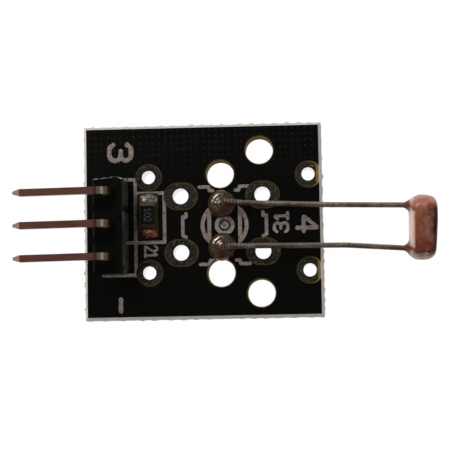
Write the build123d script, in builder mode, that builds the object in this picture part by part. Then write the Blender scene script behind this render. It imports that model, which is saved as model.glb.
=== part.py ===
from build123d import *
import math
import os

# Light sensor module: a small circuit board with a three-way angled pin header, a chip
# resistor and a light-dependent resistor on two long bent leads.
# Millimetres. +Z is up, +X points to the sensor head and +Y runs along the pin row.
# The origin is in the middle of the whole module, on the surface its soldered tails stand on.

os.makedirs("parts", exist_ok=True)

# Along the board, from the rim at the header to the rim at the sensor
rim_to_header = 2.32
header_to_resistor = 2.82
resistor_to_inner_column = 2.6
inner_pitch_x = 6.5
inner_to_outer_column = 3.66
outer_column_to_rim = 1.1

# Board
board_width = 15.5
core_thickness = 1.53
copper_thickness = 0.035
mask_thickness = 0.03
ink_thickness = 0.02
plating = 0.05
score_width = 0.22
score_depth = 0.42
rim_to_mask = 0.24
rim_to_copper = 0.5

# Mounting holes: one pair beside the sensor joints and one pair nearer the corners
mount_diameter = 2.2
mount_mask_gap = 0.04
near_pair_from_sensor = -0.09
near_pair_pitch = 7.87
near_pair_y = -0.2
far_pair_from_sensor = 3.06
far_pair_to_rim = 2.07
far_pair_y = -0.1

# Plated holes that stay empty: an outer rectangle with round lands, an inner one with ovals
empty_middle_y = -0.23
outer_pitch_x = 12.7
outer_pitch_y = 7.62
outer_bore = 1.05
outer_land = 1.95
inner_pitch_y = 4.5
inner_bore = 1.25
inner_land_length = 2.54
inner_land_width = 2.0
mask_gap = 0.11
mask_shift = 0.01

# Three-way header
header_y = -0.33
header_pitch = 2.54
header_ways = 3
housing_width = 2.48
housing_height = 2.54
housing_corner = 0.3
housing_top_chamfer = 0.15
snapped_short = 0.24
scar_height = 0.16
scar_profile = ((-0.5, 0.1), (-0.25, 0.06), (-0.13, 0.74), (0.02, 0.68), (0.15, 1), (0.3, 0.93), (0.42, 0.2), (0.5, 0))
pin_size = 0.55
pin_bend_radius = 0.67
pin_above_housing = 1.1
pin_reach = 7.22
pin_drift = 0.09
pin_taper_length = 0.55
pin_taper_depth = 0.17
header_bore = 1.0
header_land = 1.7
tail_drop = 1.3

# Chip resistor, with its length along Y
resistor_length = 2.1
resistor_width = 1.18
resistor_height = 0.5
cap_wrap = 0.32
cap_thickness = 0.03
glaze_thickness = 0.04
glaze_side_gap = 0.03
resistor_land_span = 3.42
resistor_land_length = 1.2
resistor_land_width = 1.5
land_to_outer_ring = 0.24
resistor_fillet_height = 0.38

# Light sensor
sensor_y = -0.36
sensor_hole_pitch = 3.45
sensor_bore = 0.9
sensor_land = 2.0
lead_diameter = 0.42
lead_height = 0.95
lead_bend_radius = 0.55
lead_sweep_radius = 12.0
lead_neck_radius = 0.85
lead_kink_shares = (0.6, 0.68)
lead_drift_shares = (0.71, 0.27)
lead_reach = 14.84
head_y = -0.88
head_above_board = 1.2
head_roll = 10.0
head_diameter = 4.96
head_flats = 3.5
head_thickness = 1.83
head_lead_pitch = 3.365
coat_thickness = 0.24
coat_back = 0.3
coat_rounding = 0.46
coat_cone_radius = 0.62
coat_cone_length = 0.5
coat_tip_radius = 0.25
coat_cone_hollow = 0.07
disc_thickness = 1.2
film_thickness = 0.04
film_margin = 0.12
track_width = 0.26
track_rows = 5
track_row_pitch = 0.54
track_turn_share = 0.49
track_run = 2.1
contact_diameter = 0.85
contact_height = 0.14

# Solder
dome_height = 0.72
dome_top_radius = 0.42
cone_height = 0.85
cone_tip_radius = 0.42
solder_edge_gap = 0.04
solder_hollow = 0.07
dome_bulge = 0.12

# Printed legend
ink_shift = 0.22
ink_line = 0.27
header_box_shift = 0.52
header_box_width = 2.58
header_box_y = -0.38
resistor_box_top_gap = 0.06
resistor_box_bottom_gap = 0.45
resistor_box_side_gap = 0.32
resistor_box_overrun = 0.7
bracket_offset_x = 3.32
bracket_top = 0.98
bracket_shoulder = 0.72
bracket_bottom = 0.9
bracket_corner = 0.77
bracket_hook = 0.26
tick_outer_x = 1.95
tick_outer_y = 3.08
tick_inner_x = 0.9
tick_inner_y = 2.78
tick_step_x = 1.24
tick_slant = 0.08
arc_radius = 1.75
arc_line = 0.31
arc_chord_x = 1.22
target_flats = 1.34
target_outer_radius = 0.79
target_inner_radius = 0.465
target_disc_radius = 0.335
target_dot_radius = 0.07

# Heights and the middle of the board, worked out from the sizes above
board_bottom = tail_drop
core_bottom = board_bottom + copper_thickness
core_top = core_bottom + core_thickness
board_top = core_top + copper_thickness
mask_top = core_top + mask_thickness
ink_top = mask_top + ink_thickness
rim_to_resistor = rim_to_header + header_to_resistor
rim_to_inner = rim_to_resistor + resistor_to_inner_column
rim_to_sensor = rim_to_inner + inner_pitch_x / 2
rim_to_outer = rim_to_inner + inner_pitch_x + inner_to_outer_column
board_length = rim_to_outer + outer_column_to_rim
rim_to_head_front = rim_to_sensor + lead_reach + head_thickness
rim_x = -(rim_to_header - pin_reach + rim_to_head_front) / 2
board_x = rim_x + board_length / 2
header_x = rim_x + rim_to_header
resistor_x = rim_x + rim_to_resistor
sensor_x = rim_x + rim_to_sensor
outer_x = rim_x + rim_to_outer - outer_pitch_x / 2
outer_ring_edge_y = empty_middle_y + outer_pitch_y / 2 - outer_land / 2 - mask_gap
resistor_y = outer_ring_edge_y - land_to_outer_ring - resistor_land_span / 2


def column_of(middle, pitch, count=2):
    """Points in a line along Y about a middle point, the +Y end first."""
    return [(middle[0], middle[1] + ((count - 1) / 2 - step) * pitch) for step in range(count)]


def rectangle_of(middle, pitch_x, pitch_y):
    """The four corners of a rectangle about a middle point, the +Y side first."""
    left = column_of((middle[0] - pitch_x / 2, middle[1]), pitch_y)
    right = column_of((middle[0] + pitch_x / 2, middle[1]), pitch_y)
    return [left[0], right[0], left[1], right[1]]


near_pair = column_of((sensor_x + near_pair_from_sensor, near_pair_y), near_pair_pitch)
far_pair_pitch = board_width - 2 * far_pair_to_rim
far_pair = column_of((sensor_x + far_pair_from_sensor, far_pair_y), far_pair_pitch)
mount_points = near_pair + far_pair
outer_points = rectangle_of((outer_x, empty_middle_y), outer_pitch_x, outer_pitch_y)
inner_points = rectangle_of((sensor_x, empty_middle_y), inner_pitch_x, inner_pitch_y)
header_points = column_of((header_x, header_y), header_pitch, header_ways)
sensor_points = column_of((sensor_x, sensor_y), sensor_hole_pitch)
resistor_land_pitch = resistor_land_span - resistor_land_length
resistor_land_points = column_of((resistor_x, resistor_y), resistor_land_pitch)

# Each family of plated holes: name, points, bore, land length and land width
hole_families = [
    ("outer_pad", outer_points, outer_bore, outer_land, outer_land),
    ("inner_pad", inner_points, inner_bore, inner_land_length, inner_land_width),
    ("sensor_pad", sensor_points, sensor_bore, sensor_land, sensor_land),
    ("header_pad", header_points, header_bore, header_land, header_land),
]


def finish(builder, name):
    """Label a finished piece and write it to its own file."""
    builder.part.label = name
    export_step(builder.part, f"parts/{name}.step")


def oval(length, width, mode=Mode.ADD):
    """A slot-ended shape in the current sketch, or a circle where both sizes are the same."""
    if length > width:
        SlotOverall(length, width, mode=mode)
    else:
        Circle(width / 2, mode=mode)


def upright_plane(point):
    """The XZ plane through a point of the board: local x is a radius and local y a height."""
    return Plane(origin=(point[0], point[1], 0), x_dir=(1, 0, 0), z_dir=(0, -1, 0))


def upright_axis(point):
    return Axis((point[0], point[1], 0), (0, 0, 1))


# Laminate core: scored on both faces all round, and drilled
with BuildPart() as board_core:
    with BuildSketch(Plane.XY.offset(core_bottom)):
        with Locations((board_x, 0)):
            Rectangle(board_length, board_width)
    extrude(amount=core_thickness)
    for face in (board_core.faces().sort_by(Axis.Z)[-1], board_core.faces().sort_by(Axis.Z)[0]):
        chamfer(face.edges(), length=score_width, length2=score_depth, reference=face)
    with BuildSketch(Plane.XY.offset(core_bottom)):
        with Locations(*mount_points):
            Circle(mount_diameter / 2)
        for name, points, bore, length, width in hole_families:
            with Locations(*points):
                Circle(bore / 2 + plating)
    extrude(amount=core_thickness, mode=Mode.SUBTRACT)
finish(board_core, "board_core")

# Plated holes: a land on each face, joined by the barrel. Lands stop short of the rim.
for family, points, bore, length, width in hole_families:
    for number, point in enumerate(points, 1):
        with BuildPart() as plated_hole:
            for height in (core_bottom - copper_thickness, core_top):
                with BuildSketch(Plane.XY.offset(height)):
                    with Locations(point):
                        oval(length, width)
                    with Locations((board_x, 0)):
                        Rectangle(
                            board_length - 2 * rim_to_copper,
                            board_width - 2 * rim_to_copper,
                            mode=Mode.INTERSECT,
                        )
                extrude(amount=copper_thickness)
            with BuildSketch(Plane.XY.offset(core_bottom)):
                with Locations(point):
                    Circle(bore / 2 + plating)
            extrude(amount=core_thickness)
            with BuildSketch(Plane.XY.offset(board_bottom)):
                with Locations(point):
                    Circle(bore / 2)
            extrude(amount=board_top - board_bottom, mode=Mode.SUBTRACT)
        finish(plated_hole, f"{family}_{number}")

# Lands of the chip resistor
for number, point in enumerate(resistor_land_points, 1):
    with BuildPart() as resistor_pad:
        with BuildSketch(Plane.XY.offset(core_top)):
            with Locations(point):
                Rectangle(resistor_land_width, resistor_land_length)
        extrude(amount=copper_thickness)
    finish(resistor_pad, f"resistor_pad_{number}")


def mask_openings(with_resistor, mode):
    """Openings of the solder mask in the current sketch, with their small shift off the copper."""
    with Locations(*mount_points):
        Circle(mount_diameter / 2 + mount_mask_gap, mode=mode)
    for name, points, bore, length, width in hole_families:
        with Locations(*[(x + mask_shift, y) for x, y in points]):
            oval(length + 2 * mask_gap, width + 2 * mask_gap, mode=mode)
    if with_resistor:
        with Locations(*resistor_land_points):
            Rectangle(resistor_land_width + mask_gap, resistor_land_length + mask_gap, mode=mode)


# Solder mask: a thin skin on each face
for side, height in (("top", core_top), ("bottom", core_bottom - mask_thickness)):
    with BuildPart() as solder_mask:
        with BuildSketch(Plane.XY.offset(height)):
            with Locations((board_x, 0)):
                Rectangle(board_length - 2 * rim_to_mask, board_width - 2 * rim_to_mask)
            mask_openings(with_resistor=side == "top", mode=Mode.SUBTRACT)
        extrude(amount=mask_thickness)
    finish(solder_mask, f"solder_mask_{side}")


def stroke(*points, width=ink_line):
    """One printed line with round ends and corners in the current sketch."""
    for start, end in zip(points, points[1:]):
        length = math.dist(start, end)
        angle = math.degrees(math.atan2(end[1] - start[1], end[0] - start[0]))
        with Locations(Location(((start[0] + end[0]) / 2, (start[1] + end[1]) / 2, 0), (0, 0, angle))):
            SlotCenterToCenter(length, width)


def print_legend(draw, name):
    """Print one drawing on the mask, cut away over every opening."""
    with BuildPart() as legend:
        with BuildSketch(Plane.XY.offset(mask_top)):
            draw()
            mask_openings(with_resistor=True, mode=Mode.SUBTRACT)
        extrude(amount=ink_thickness)
    finish(legend, name)


header_box_x = header_x + header_box_shift
header_box_side_x = header_box_x + header_box_width / 2
ink_sensor = (sensor_x + ink_shift, sensor_y)


def draw_header_box():
    """Outline of the header, mostly hidden under its housing."""
    half_width = header_box_width / 2
    half_length = header_ways * header_pitch / 2
    corners = [(-1, 1), (1, 1), (1, -1), (-1, -1), (-1, 1)]
    stroke(*[(header_box_x + a * half_width, header_box_y + b * half_length) for a, b in corners])


def draw_resistor_box():
    """Outline of the chip resistor. The header's own outline closes it, and one line runs past that."""
    far_x = resistor_x + ink_shift + resistor_land_width / 2 + resistor_box_side_gap
    top_y = resistor_y + resistor_land_span / 2 + resistor_box_top_gap
    bottom_y = resistor_y - resistor_land_span / 2 - resistor_box_bottom_gap
    corners = [
        (header_box_side_x, top_y),
        (far_x, top_y),
        (far_x, bottom_y),
        (header_box_side_x - resistor_box_overrun, bottom_y),
    ]
    stroke(*corners)
    with Locations((header_box_side_x, (top_y + bottom_y) / 2)):
        Rectangle(ink_line, top_y - bottom_y + 2 * ink_line, mode=Mode.SUBTRACT)


def draw_switch_outline():
    """Corner ticks and side brackets of the switch that the board could carry instead."""
    for side_x in (-1, 1):
        bracket_x = ink_sensor[0] + side_x * bracket_offset_x
        hook_x = bracket_x - side_x * bracket_hook
        shoulder_y = ink_sensor[1] + bracket_shoulder
        stroke(
            (hook_x, ink_sensor[1] + bracket_top),
            (hook_x, shoulder_y),
            (bracket_x, shoulder_y),
            (bracket_x, ink_sensor[1] - bracket_corner),
            (hook_x, ink_sensor[1] - bracket_bottom),
        )
        for side_y in (-1, 1):
            corners = [
                (tick_outer_x, tick_outer_y),
                (tick_step_x, tick_outer_y),
                (tick_step_x - tick_slant, tick_inner_y),
                (tick_inner_x, tick_inner_y),
            ]
            stroke(*[(ink_sensor[0] + side_x * x, ink_sensor[1] + side_y * y) for x, y in corners])


def draw_target():
    """Two circle segments, a ring with two flats and a holed disc between the sensor joints."""
    with Locations(ink_sensor):
        Circle(arc_radius + arc_line / 2)
        Circle(arc_radius - arc_line / 2, mode=Mode.SUBTRACT)
    for side_x in (-1, 1):
        chord_x = ink_sensor[0] + side_x * arc_chord_x
        chord_y = math.sqrt(arc_radius**2 - arc_chord_x**2)
        stroke((chord_x, ink_sensor[1] + chord_y), (chord_x, ink_sensor[1] - chord_y), width=arc_line)
    with BuildSketch(mode=Mode.PRIVATE) as ring:
        Circle(target_outer_radius)
        Rectangle(2 * target_outer_radius, target_flats, mode=Mode.INTERSECT)
        Circle(target_inner_radius, mode=Mode.SUBTRACT)
        Circle(target_disc_radius)
        Circle(target_dot_radius, mode=Mode.SUBTRACT)
    with Locations(ink_sensor):
        Rectangle(2 * arc_chord_x - arc_line, 2 * arc_radius + arc_line, mode=Mode.SUBTRACT)
        add(ring.sketch)


print_legend(draw_header_box, "legend_header")
print_legend(draw_resistor_box, "legend_resistor")
print_legend(draw_switch_outline, "legend_switch")
print_legend(draw_target, "legend_target")

# Header pins: a square wire with tapered ends, up through the housing and bent towards -X.
# Their tips have drifted a little to one side.
pin_height = ink_top + housing_height + pin_above_housing
header_pins = []
for number, (pin_x, pin_y) in enumerate(header_points, 1):
    with BuildPart() as header_pin:
        with BuildLine() as pin_path:
            FilletPolyline(
                (pin_x, pin_y, 0),
                (pin_x, pin_y, pin_height),
                (pin_x - pin_reach, pin_y - pin_drift, pin_height),
                radius=pin_bend_radius,
            )
        with BuildSketch(Plane.XY):
            with Locations((pin_x, pin_y)):
                Rectangle(pin_size, pin_size)
        sweep(path=pin_path.wires()[0])
        for end in (header_pin.faces().sort_by(Axis.X)[0], header_pin.faces().sort_by(Axis.Z)[0]):
            chamfer(end.edges(), length=pin_taper_depth, length2=pin_taper_length, reference=end)
    finish(header_pin, f"header_pin_{number}")
    header_pins.append(header_pin.part)

# Header housing: one moulded strip, notched between its ways. It was snapped off its
# neighbour at the +Y end, a little short and with an uneven face.
snapped_y = header_points[0][1] + header_pitch / 2 - snapped_short
scar_plane = Plane(origin=(header_points[0][0], snapped_y, ink_top))
with BuildPart() as header_housing:
    with BuildSketch(Plane.XY.offset(ink_top)):
        for point in header_points:
            with BuildSketch(mode=Mode.PRIVATE) as one_way:
                Rectangle(housing_width, header_pitch)
                chamfer(one_way.vertices(), length=housing_corner)
            with Locations(point):
                add(one_way.sketch)
    extrude(amount=housing_height)
    top_face = header_housing.faces().sort_by(Axis.Z)[-1]
    long_edges = top_face.edges().filter_by(Axis.Y).group_by(Axis.X)
    chamfer(long_edges[0] + long_edges[-1], length=housing_top_chamfer)
    with BuildSketch(scar_plane):
        with BuildLine():
            torn = [(housing_width * a, scar_height * b) for a, b in scar_profile]
            Polyline(*torn, (torn[-1][0], header_pitch), (torn[0][0], header_pitch), close=True)
        make_face()
    extrude(amount=housing_height, mode=Mode.SUBTRACT)
    with BuildSketch(Plane.XY.offset(ink_top)):
        with Locations(*header_points):
            Rectangle(pin_size, pin_size)
    extrude(amount=housing_height, mode=Mode.SUBTRACT)
finish(header_housing, "header_housing")

# Header joints: solder fills each hole and climbs the pin's tail below the board
for number, (point, pin) in enumerate(zip(header_points, header_pins), 1):
    foot_radius = header_land / 2 - solder_edge_gap
    tip_z = board_bottom - cone_height
    with BuildPart() as header_solder:
        with BuildSketch(upright_plane(point)):
            with BuildLine():
                Polyline((cone_tip_radius, tip_z), (0, tip_z), (0, board_top), (header_bore / 2, board_top))
                Line((header_bore / 2, board_top), (header_bore / 2, board_bottom))
                Line((header_bore / 2, board_bottom), (foot_radius, board_bottom))
                SagittaArc((foot_radius, board_bottom), (cone_tip_radius, tip_z), -solder_hollow)
            make_face()
        revolve(axis=upright_axis(point))
        add(pin, mode=Mode.SUBTRACT)
    finish(header_solder, f"header_solder_{number}")

# Chip resistor: a ceramic chip between two tinned caps, under a black glaze
resistor_plane = Plane(origin=(resistor_x, resistor_y, board_top))
with BuildPart() as resistor_body:
    with BuildSketch(resistor_plane.offset(cap_thickness)):
        Rectangle(resistor_width, resistor_length - 2 * cap_thickness)
    extrude(amount=resistor_height - 2 * cap_thickness)
finish(resistor_body, "resistor_body")

with BuildPart() as resistor_glaze:
    with BuildSketch(resistor_plane.offset(resistor_height - cap_thickness)):
        Rectangle(resistor_width - 2 * glaze_side_gap, resistor_length - 2 * cap_wrap)
    extrude(amount=glaze_thickness)
finish(resistor_glaze, "resistor_glaze")

for number, side in ((1, 1), (2, -1)):
    with BuildPart() as resistor_cap:
        with BuildSketch(resistor_plane):
            with Locations((0, side * (resistor_length - cap_wrap) / 2)):
                Rectangle(resistor_width, cap_wrap)
        extrude(amount=resistor_height)
        add(resistor_body.part, mode=Mode.SUBTRACT)
    finish(resistor_cap, f"resistor_cap_{number}")

    cap_end_y = resistor_y + side * resistor_length / 2
    fillet_end_y = resistor_y + side * (resistor_land_span / 2 - solder_edge_gap)
    with BuildPart() as resistor_solder:
        with BuildSketch(Plane.YZ.offset(resistor_x - resistor_width / 2)):
            with BuildLine():
                Polyline(
                    (fillet_end_y, board_top),
                    (cap_end_y, board_top),
                    (cap_end_y, board_top + resistor_fillet_height),
                )
                SagittaArc(
                    (cap_end_y, board_top + resistor_fillet_height),
                    (fillet_end_y, board_top),
                    -side * solder_hollow,
                )
            make_face()
        extrude(amount=resistor_width)
    finish(resistor_solder, f"resistor_solder_{number}")

# Sensor head. Its plane stands on the back of the resin coat: local x runs along the flats
# from lead to lead, local y across them, and offsets go towards the front.
roll = math.radians(head_roll)
head_plane = Plane(
    origin=(sensor_x + lead_reach, head_y, board_top + head_above_board),
    x_dir=(0, math.cos(roll), math.sin(roll)),
    z_dir=(1, 0, 0),
)
disc_diameter = head_diameter - 2 * coat_thickness
disc_flats = head_flats - 2 * coat_thickness
disc_front = coat_back + disc_thickness
film_front = disc_front + film_thickness
head_lead_points = [(head_lead_pitch / 2, 0), (-head_lead_pitch / 2, 0)]


def flatted_circle(diameter, across_flats, mode=Mode.ADD):
    """A circle with two flats in the current sketch."""
    with BuildSketch(mode=Mode.PRIVATE) as shape:
        Circle(diameter / 2)
        Rectangle(diameter, across_flats, mode=Mode.INTERSECT)
    add(shape.sketch, mode=mode)


# Leads: from the tail under the board up through the joint, along to the head and
# through the disc to the face of its film. Each has one gentle bend at its own share of the
# way, by which it has drifted sideways by its own share.
sensor_leads = []
for number, (kink, drift) in enumerate(zip(lead_kink_shares, lead_drift_shares), 1):
    hole = sensor_points[number - 1]
    head_x, head_y_local = head_lead_points[number - 1]
    back_point = head_plane.from_local_coords(Vector(head_x, head_y_local, -coat_cone_length))
    front_point = head_plane.from_local_coords(Vector(head_x, head_y_local, film_front))
    bend_point = Vector(hole[0], hole[1], board_top + lead_height)
    run = back_point - bend_point
    kink_point = bend_point + Vector(run.X * kink, run.Y * drift, run.Z * kink)
    with BuildPart() as sensor_lead:
        with BuildLine() as lead_path:
            FilletPolyline(
                (hole[0], hole[1], 0),
                bend_point,
                kink_point,
                back_point,
                front_point,
                radius=[lead_bend_radius, lead_sweep_radius, lead_neck_radius],
            )
        with BuildSketch(Plane.XY):
            with Locations(hole):
                Circle(lead_diameter / 2)
        sweep(path=lead_path.wires()[0])
    finish(sensor_lead, f"sensor_lead_{number}")
    sensor_leads.append(sensor_lead.part)

# Sensor joints: a dome round the bend on top, the filled hole and a cone below
for number, (point, lead) in enumerate(zip(sensor_points, sensor_leads), 1):
    foot_radius = sensor_land / 2 - solder_edge_gap
    tip_z = board_bottom - cone_height
    top_z = board_top + dome_height
    with BuildPart() as sensor_solder:
        with BuildSketch(upright_plane(point)):
            with BuildLine():
                Polyline((cone_tip_radius, tip_z), (0, tip_z), (0, top_z), (dome_top_radius, top_z))
                SagittaArc((dome_top_radius, top_z), (foot_radius, board_top), dome_bulge)
                Line((foot_radius, board_top), (sensor_bore / 2, board_top))
                Line((sensor_bore / 2, board_top), (sensor_bore / 2, board_bottom))
                Line((sensor_bore / 2, board_bottom), (foot_radius, board_bottom))
                SagittaArc((foot_radius, board_bottom), (cone_tip_radius, tip_z), -solder_hollow)
            make_face()
        revolve(axis=upright_axis(point))
        add(lead, mode=Mode.SUBTRACT)
    finish(sensor_solder, f"sensor_solder_{number}")

# Ceramic disc
with BuildPart() as sensor_disc:
    with BuildSketch(head_plane.offset(coat_back)):
        flatted_circle(disc_diameter, disc_flats)
        with Locations(*head_lead_points):
            Circle(lead_diameter / 2, mode=Mode.SUBTRACT)
    extrude(amount=disc_thickness)
finish(sensor_disc, "sensor_disc")

# Track: rows that run from lead to lead, turned back at alternate ends, and led out at
# each flat. It parts the metal film into two combs.
film_diameter = disc_diameter - 2 * film_margin
film_flats = disc_flats - 2 * film_margin
track_points = [(-track_run / 2, -film_flats)]
for row in range(track_rows):
    height = (row - (track_rows - 1) / 2) * track_row_pitch
    start_x = -track_run / 2 if row % 2 == 0 else track_run / 2
    track_points += [(start_x, height), (-start_x, height)]
track_points.append((-start_x, film_flats))

with BuildPart() as sensor_track:
    with BuildSketch(head_plane.offset(disc_front)) as track_face:
        with BuildLine():
            FilletPolyline(*track_points, radius=track_turn_share * track_row_pitch)
        trace(line_width=track_width)
        flatted_circle(film_diameter, film_flats, Mode.INTERSECT)
    extrude(amount=film_thickness)
finish(sensor_track, "sensor_track")

with BuildPart() as film:
    with BuildSketch(head_plane.offset(disc_front)):
        flatted_circle(film_diameter, film_flats)
        add(track_face.sketch_local, mode=Mode.SUBTRACT)
        with Locations(*head_lead_points):
            Circle(lead_diameter / 2, mode=Mode.SUBTRACT)
    extrude(amount=film_thickness)
combs = film.solids().sort_by(Axis.Y)
for number, comb in enumerate((combs[-1], combs[0]), 1):
    with BuildPart() as sensor_electrode:
        add(comb)
    finish(sensor_electrode, f"sensor_electrode_{number}")

# Dabs of conductive paste over the ends of the leads
contacts = []
for number, place in enumerate(head_lead_points, 1):
    with BuildPart() as sensor_contact:
        with BuildSketch(head_plane.offset(film_front)):
            with Locations(place):
                Circle(contact_diameter / 2)
        extrude(amount=contact_height)
        chamfer(sensor_contact.edges().sort_by(Axis.X)[-1], length=contact_height / 2)
    finish(sensor_contact, f"sensor_contact_{number}")
    contacts.append(sensor_contact.part)

# Resin coat: rounded all over, with a cone drawn out along each lead, and hollow where it
# holds the disc, its film, the dabs and the leads
with BuildPart() as sensor_coat:
    with BuildSketch(head_plane):
        flatted_circle(head_diameter, head_flats)
    extrude(amount=head_thickness)
    fillet(sensor_coat.edges().filter_by(Axis.X), radius=coat_rounding)
    rims = sensor_coat.faces().filter_by(Axis.X).edges()
    fillet(rims, radius=coat_rounding)
    for place in head_lead_points:
        cone_origin = head_plane.from_local_coords(Vector(place[0], place[1], 0))
        cone_plane = Plane(origin=cone_origin, x_dir=head_plane.x_dir, z_dir=head_plane.y_dir)
        with BuildSketch(cone_plane):
            with BuildLine():
                Polyline(
                    (coat_tip_radius, coat_cone_length),
                    (0, coat_cone_length),
                    (0, -coat_back),
                    (coat_cone_radius, -coat_back),
                    (coat_cone_radius, 0),
                )
                SagittaArc((coat_cone_radius, 0), (coat_tip_radius, coat_cone_length), coat_cone_hollow)
            make_face()
        revolve(axis=Axis(cone_origin, (1, 0, 0)))
    with BuildSketch(head_plane.offset(coat_back)):
        flatted_circle(disc_diameter, disc_flats)
    extrude(amount=disc_thickness, mode=Mode.SUBTRACT)
    with BuildSketch(head_plane.offset(disc_front)):
        flatted_circle(film_diameter, film_flats)
    extrude(amount=film_thickness, mode=Mode.SUBTRACT)
    for inner in contacts + sensor_leads:
        add(inner, mode=Mode.SUBTRACT)
finish(sensor_coat, "sensor_coat")
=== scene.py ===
# %% [markdown]
# # A light sensor module
#
# The real thing is a small black circuit board with three bent pins at one end, a chip
# resistor beside them and a light sensor that stands far out on two wires. Its exact solids
# come packed from CAD, so this lesson doesn't model the board again. It gives every solid a real
# finish, and makes what a CAD kernel is bad at: a torn fibre edge, soft solder, dipped resin
# and ragged ink. Everything is in metres in the CAD's own frame.

# %% Load the imported model
from functools import partial

import bpy
import numpy as np
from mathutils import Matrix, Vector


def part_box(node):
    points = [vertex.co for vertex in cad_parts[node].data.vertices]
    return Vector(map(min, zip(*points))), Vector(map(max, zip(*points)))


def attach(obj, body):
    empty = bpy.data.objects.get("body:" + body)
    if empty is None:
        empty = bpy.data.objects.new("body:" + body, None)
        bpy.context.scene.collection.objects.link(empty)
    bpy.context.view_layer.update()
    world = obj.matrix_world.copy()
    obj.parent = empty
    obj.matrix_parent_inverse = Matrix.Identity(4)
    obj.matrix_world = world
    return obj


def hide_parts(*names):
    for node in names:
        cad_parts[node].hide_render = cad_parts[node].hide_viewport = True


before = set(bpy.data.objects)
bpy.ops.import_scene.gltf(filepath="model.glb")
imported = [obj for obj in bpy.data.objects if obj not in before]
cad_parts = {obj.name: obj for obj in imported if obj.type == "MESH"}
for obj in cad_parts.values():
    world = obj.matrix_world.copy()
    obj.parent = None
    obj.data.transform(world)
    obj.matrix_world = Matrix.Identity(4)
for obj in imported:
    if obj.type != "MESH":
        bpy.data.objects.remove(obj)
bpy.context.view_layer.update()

MM = 0.001
print("packed nodes:", len(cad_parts))

# %% [markdown]
# The finishes and pieces below need a few places on the board. They could be typed in, but
# asking the frame for each node's box keeps them right when the CAD changes.

# %% Places read from the frame, in millimetres


def corners(node):
    """The lowest and highest corner of a CAD node as two arrays in millimetres."""
    low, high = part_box(node)
    return np.array(low) / MM, np.array(high) / MM


def middle(node):
    low, high = corners(node)
    return (low + high) / 2


core_low, core_high = corners("board_core")
mask_face = corners("solder_mask_top")[1][2]
land_face = corners("sensor_pad_1")[1][2]
land_underside = corners("sensor_pad_1")[0][2]
print("board", core_low.round(3), core_high.round(3), "mask face", round(mask_face, 3))

# %% [markdown]
# A surface in this lesson is a grid of points: a function of two parameters, worked out for
# all points at once with numpy. One helper turns any such grid into a mesh. It can close the
# grid on itself in both directions, and where a whole row falls on one point it makes a pole,
# so seams and tips leave no hole. A wrong winding shows as a negative volume, and is turned.

# %% Grid to mesh


def surface(name, grid, close_rows=False, sharp=None):
    """Make a mesh from a grid of points in millimetres, shape (rows, columns, 3).

    Columns always run round and close on themselves. Rows close too if close_rows is set,
    and a first or last row whose points are all alike becomes a single pole.
    """
    rows, columns = grid.shape[:2]
    index = np.arange(rows * columns).reshape(rows, columns)
    for row in (0, -1):
        if np.ptp(grid[row], axis=0).max() < 1e-6:
            index[row] = index[row, 0]
    if close_rows:
        index = np.vstack([index, index[:1]])
    index = np.hstack([index, index[:, :1]])
    quads = np.stack([index[:-1, :-1], index[:-1, 1:], index[1:, 1:], index[1:, :-1]], -1).reshape(-1, 4)
    used, quads = np.unique(quads, return_inverse=True)
    quads = quads.reshape(-1, 4)
    points = grid.reshape(-1, 3)[used]
    first, second, third, fourth = (points[quads[:, side]] for side in range(4))
    turned = np.einsum("ij,ij->i", first, np.cross(second, third) + np.cross(third, fourth)).sum() < 0
    quads = quads[:, ::-1] if turned else quads
    faces = [list(dict.fromkeys(quad)) for quad in quads.tolist()]
    mesh = bpy.data.meshes.new(name)
    mesh.from_pydata((points * MM).tolist(), [], [face for face in faces if len(face) > 2])
    mesh.polygons.foreach_set("use_smooth", np.ones(len(mesh.polygons), bool))
    if sharp is not None:
        mesh.set_sharp_from_angle(angle=np.radians(sharp))
    piece = bpy.data.objects.new(name, mesh)
    bpy.context.scene.collection.objects.link(piece)
    return piece


def place_on_board(piece, finish, slot, *replaced):
    """Give a new piece its finish, let it ride with the module and hide the nodes that it stands for."""
    piece.data.materials.append(finish)
    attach(piece, "root")
    if replaced:
        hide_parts(*replaced)
    print(piece.name, len(piece.data.polygons), "faces")
    return piece


def uneven(place, period, coarsest, finest, seed):
    """A wavy line that repeats after one period, about -1 to 1.

    The sum over k from coarsest to finest of sin(2 pi k place / period + phase k), with a
    random phase for each k, divided by the root of half the number of waves.
    """
    waves = np.arange(coarsest, finest + 1)
    phases = np.random.default_rng(seed).uniform(0, 2 * np.pi, len(waves))
    angles = 2 * np.pi * np.multiply.outer(np.asarray(place) / period, waves) + phases
    return np.sin(angles).sum(-1) / np.sqrt(len(waves) / 2) / 2


# %% [markdown]
# Finishes are procedural: each is a small node tree that reads Object coordinates. The board
# is only millimetres large, so the coordinates are first scaled from metres to millimetres,
# and every pattern below can be given in sizes that could be measured on the real board. A
# value that is the same everywhere is set on the shader itself, so it survives an export. Each
# helper adds one node and hands back its output, so that a finish reads like a short recipe.

# %% Helpers for node materials


def tone(red, green, blue):
    """A colour given as it shows on screen, 0 to 255, as the linear colour that nodes use."""
    screen = np.array([red, green, blue]) / 255
    return (*np.where(screen <= 0.04045, screen / 12.92, ((screen + 0.055) / 1.055) ** 2.4).tolist(), 1.0)


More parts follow.
